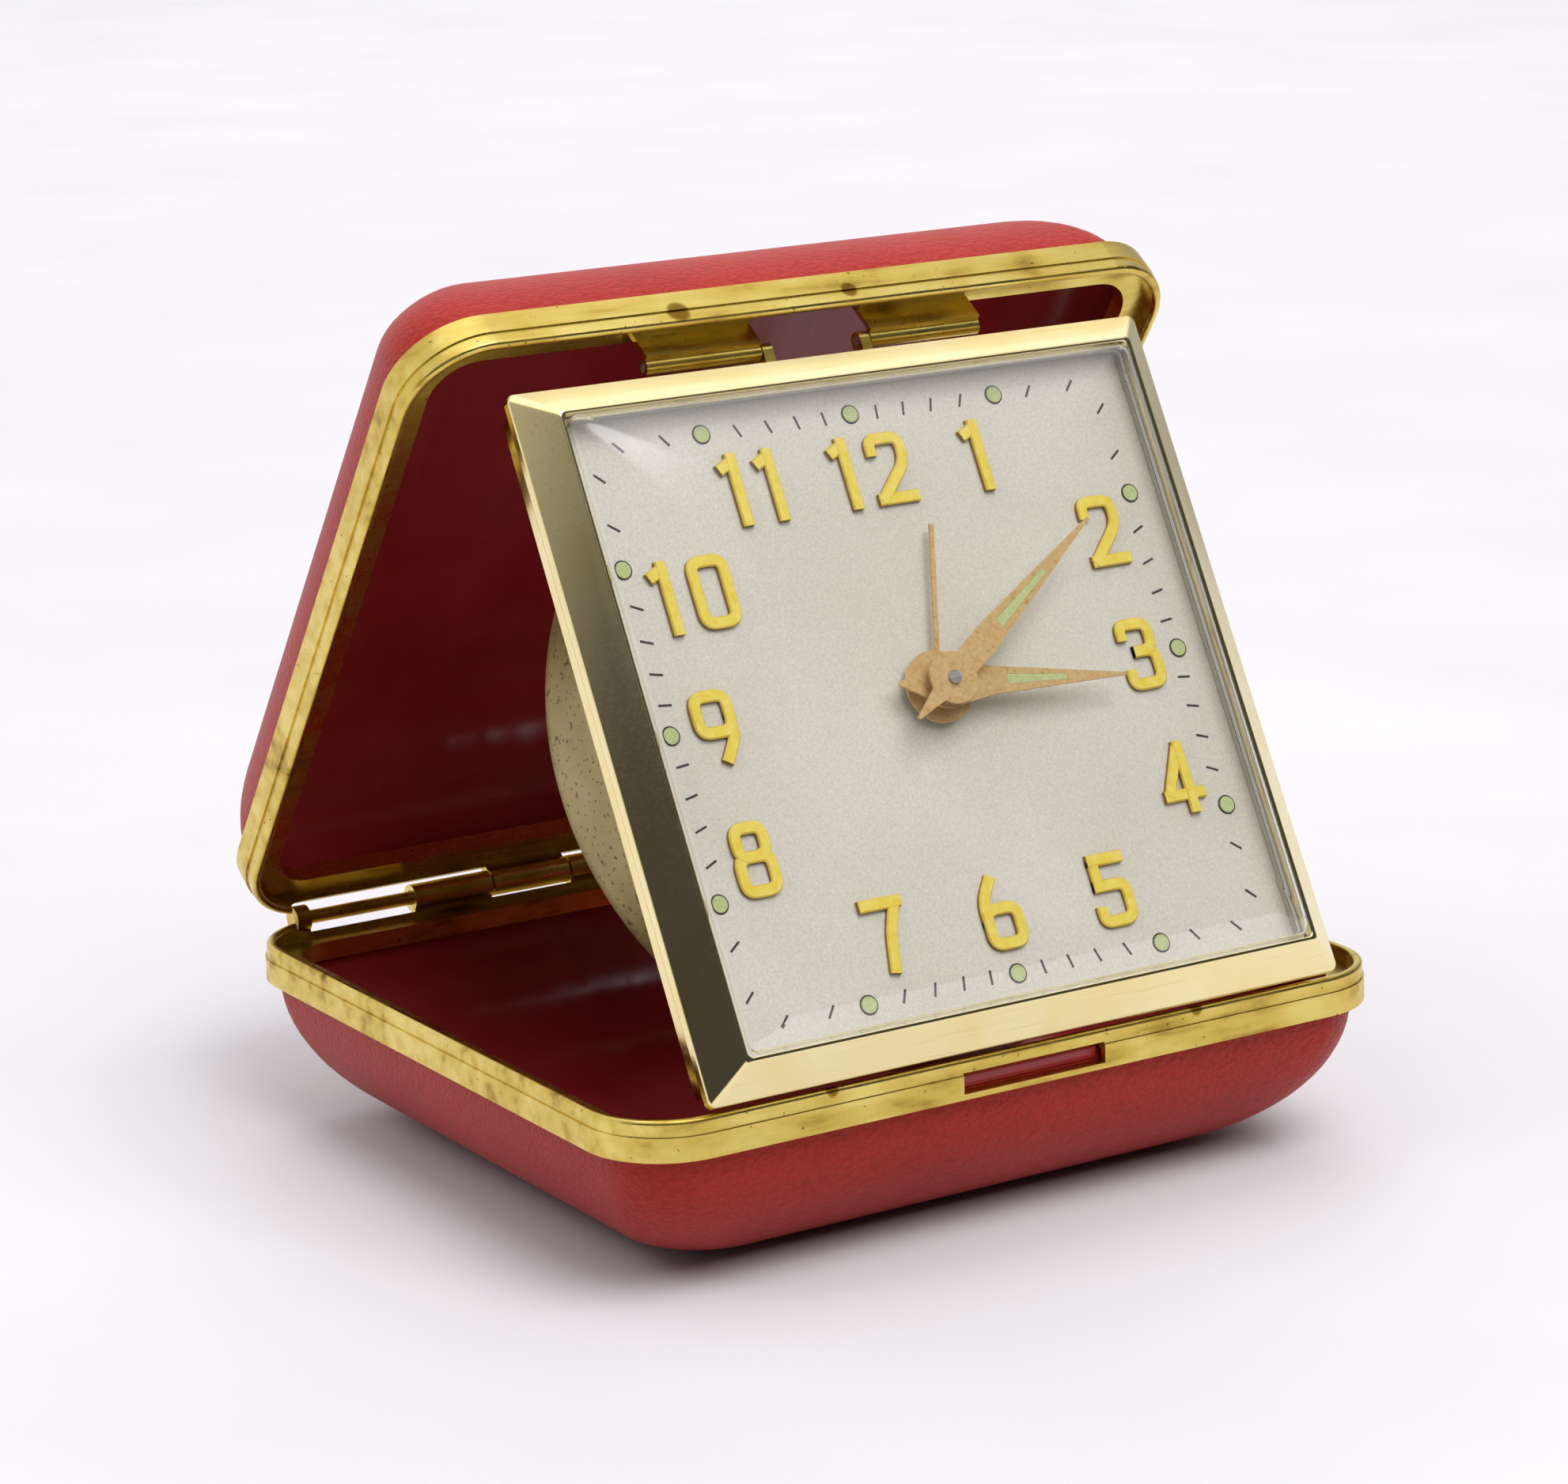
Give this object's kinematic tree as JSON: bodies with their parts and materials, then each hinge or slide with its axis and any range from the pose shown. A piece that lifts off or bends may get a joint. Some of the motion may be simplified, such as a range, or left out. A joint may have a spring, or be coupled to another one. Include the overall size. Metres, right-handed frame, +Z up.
{
  "type": "folding travel alarm clock",
  "caption": "Folding travel alarm clock: a square gilt clock with a domed crystal, hinged on the lid of a red leathercloth case with brass rims.",
  "frame": {"origin": "middle of the flat underside of the case, on the surface it stands on", "axes": "+Z up, +X to the right seen from the front, the dial faces -Y and leans back"},
  "size_m": [0.078, 0.0807, 0.079],
  "materials": {
    "red_leather": "pebble-grained red leathercloth, satin",
    "pan_steel": "plain pressed steel, hidden between cover and lining",
    "maroon_lining": "glossy maroon vinyl lining",
    "rim_brass": "aged gilt brass with brown stains",
    "bezel_gilt": "polished pale gilt with fine scratches",
    "crystal_acrylic": "clear pressed acrylic",
    "dial_silver": "silvery cream satin dial",
    "numeral_gilt": "polished yellow gilt numerals",
    "lume": "pale green luminous paint",
    "hand_brass": "aged coppery brass",
    "can_gold": "satin gold lacquer with dark specks",
    "movement_brass": "plain rolled brass",
    "steel": "plain bright steel"
  },
  "bodies": {
    "base": {"base_cover": "red_leather", "base_pan": "pan_steel", "base_liner": "maroon_lining", "base_rim": "rim_brass", "case_hinge_pin": "rim_brass"},
    "lid": {"lid_cover": "red_leather", "lid_pan": "pan_steel", "lid_liner": "maroon_lining", "lid_rim": "rim_brass"},
    "clock": {"bezel": "bezel_gilt", "crystal": "crystal_acrylic", "dial": "dial_silver", "dial_numerals": "numeral_gilt", "hour_dots": "lume", "dial_support": "steel", "back_can": "can_gold", "can_screws": "steel", "hinge_lugs": "rim_brass", "clock_hinge_pins": "steel", "front_plate": "movement_brass", "back_plate": "movement_brass", "plate_pillars": "movement_brass", "pillar_screws": "steel", "time_mainspring": "steel", "alarm_mainspring": "steel", "hairspring": "steel"},
    "minute_work": {"minute_hand": "hand_brass", "minute_lume": "lume", "centre_arbor": "steel", "time_set_knob": "can_gold"},
    "hour_work": {"hour_hand": "hand_brass", "hour_lume": "lume", "hour_wheel": "movement_brass"},
    "motion_wheel": {"minute_wheel": "movement_brass"},
    "alarm_work": {"alarm_hand": "hand_brass", "alarm_wheel": "movement_brass"},
    "alarm_setter": {"alarm_set_arbor": "steel", "alarm_set_knob": "can_gold"},
    "time_winder": {"time_key": "can_gold", "time_winding_arbor": "steel"},
    "alarm_winder": {"alarm_key": "can_gold", "alarm_winding_arbor": "steel"},
    "centre_wheel": {"centre_wheel": "movement_brass"},
    "third_wheel": {"third_wheel": "movement_brass"},
    "fourth_wheel": {"fourth_wheel": "movement_brass"},
    "escape_wheel": {"escape_wheel": "movement_brass"},
    "pallets": {"pallet_lever": "steel"},
    "balance": {"balance_wheel": "movement_brass"},
    "hammer": {"alarm_hammer": "steel"},
    "stop_button": {"alarm_stop_button": "can_gold"},
    "regulator": {"regulator_lever": "steel"}
  },
  "joints": [
    {"name": "lid_hinge", "type": "hinge", "parent": "base", "child": "lid", "pos_m": [0, 0.0362, 0.0168], "axis": [-1, 0, 0], "range_deg": [0, 35]},
    {"name": "clock_fold", "type": "hinge", "parent": "lid", "child": "clock", "pos_m": [0, -0.00385, 0.07177], "axis": [1, 0, 0], "range_deg": [-20, 63.8]},
    {"name": "minute_turn", "type": "hinge", "parent": "clock", "child": "minute_work", "pos_m": [0, -0.02159, 0.04453], "axis": [0, 0.8788, -0.4772], "continuous": true},
    {"name": "hour_turn", "type": "hinge", "parent": "clock", "child": "hour_work", "pos_m": [0, -0.02159, 0.04453], "axis": [0, 0.8788, -0.4772], "continuous": true},
    {"name": "motion_turn", "type": "hinge", "parent": "clock", "child": "motion_wheel", "pos_m": [0.003, -0.01911, 0.0491], "axis": [0, 0.8788, -0.4772], "continuous": true},
    {"name": "alarm_set_turn", "type": "hinge", "parent": "clock", "child": "alarm_setter", "pos_m": [0, -0.02588, 0.03662], "axis": [0, 0.8788, -0.4772], "continuous": true},
    {"name": "alarm_hand_turn", "type": "hinge", "parent": "clock", "child": "alarm_work", "pos_m": [0, -0.02159, 0.04453], "axis": [0, 0.8788, -0.4772], "continuous": true},
    {"name": "time_winding", "type": "hinge", "parent": "clock", "child": "time_winder", "pos_m": [0.0115, -0.01634, 0.0542], "axis": [0, 0.8788, -0.4772], "range_deg": [-900, 900]},
    {"name": "alarm_winding", "type": "hinge", "parent": "clock", "child": "alarm_winder", "pos_m": [0.014, -0.0235, 0.04102], "axis": [0, 0.8788, -0.4772], "range_deg": [-900, 900]},
    {"name": "fourth_turn", "type": "hinge", "parent": "clock", "child": "fourth_wheel", "pos_m": [-0.01204, -0.02296, 0.04202], "axis": [0, 0.8788, -0.4772], "continuous": true},
    {"name": "third_turn", "type": "hinge", "parent": "clock", "child": "third_wheel", "pos_m": [-0.00779, -0.01944, 0.04849], "axis": [0, 0.8788, -0.4772], "continuous": true},
    {"name": "centre_turn", "type": "hinge", "parent": "clock", "child": "centre_wheel", "pos_m": [0, -0.02159, 0.04453], "axis": [0, 0.8788, -0.4772], "continuous": true},
    {"name": "escape_turn", "type": "hinge", "parent": "clock", "child": "escape_wheel", "pos_m": [-0.00779, -0.02647, 0.03555], "axis": [0, 0.8788, -0.4772], "continuous": true},
    {"name": "balance_swing", "type": "hinge", "parent": "clock", "child": "balance", "pos_m": [0.006, -0.02827, 0.03223], "axis": [0, 0.8788, -0.4772], "range_deg": [-200, 200]},
    {"name": "pallet_rock", "type": "hinge", "parent": "clock", "child": "pallets", "pos_m": [-0.001, -0.02827, 0.03223], "axis": [0, 0.8788, -0.4772], "range_deg": [-6, 6]},
    {"name": "hammer_swing", "type": "hinge", "parent": "clock", "child": "hammer", "pos_m": [-0.019, -0.01968, 0.04805], "axis": [0, 0.8788, -0.4772], "range_deg": [-8, 8]},
    {"name": "stop_press", "type": "slide", "parent": "clock", "child": "stop_button", "axis": [0, -0.8788, 0.4772], "range_m": [0, 0.0015], "stiffness_N_per_m": 60},
    {"name": "regulator_turn", "type": "hinge", "parent": "clock", "child": "regulator", "pos_m": [0.005, -0.02994, 0.02915], "axis": [0, 0.8788, -0.4772], "range_deg": [-20, 20]}
  ],
  "couplings": [
    {"joint": "hour_turn", "follows": "minute_turn", "ratio": 0.083333},
    {"joint": "motion_turn", "follows": "minute_turn", "ratio": -0.33333},
    {"joint": "alarm_hand_turn", "follows": "alarm_set_turn", "ratio": -0.5},
    {"joint": "third_turn", "follows": "fourth_turn", "ratio": -0.13333},
    {"joint": "centre_turn", "follows": "fourth_turn", "ratio": 0.016667},
    {"joint": "escape_turn", "follows": "fourth_turn", "ratio": -7.5}
  ]
}
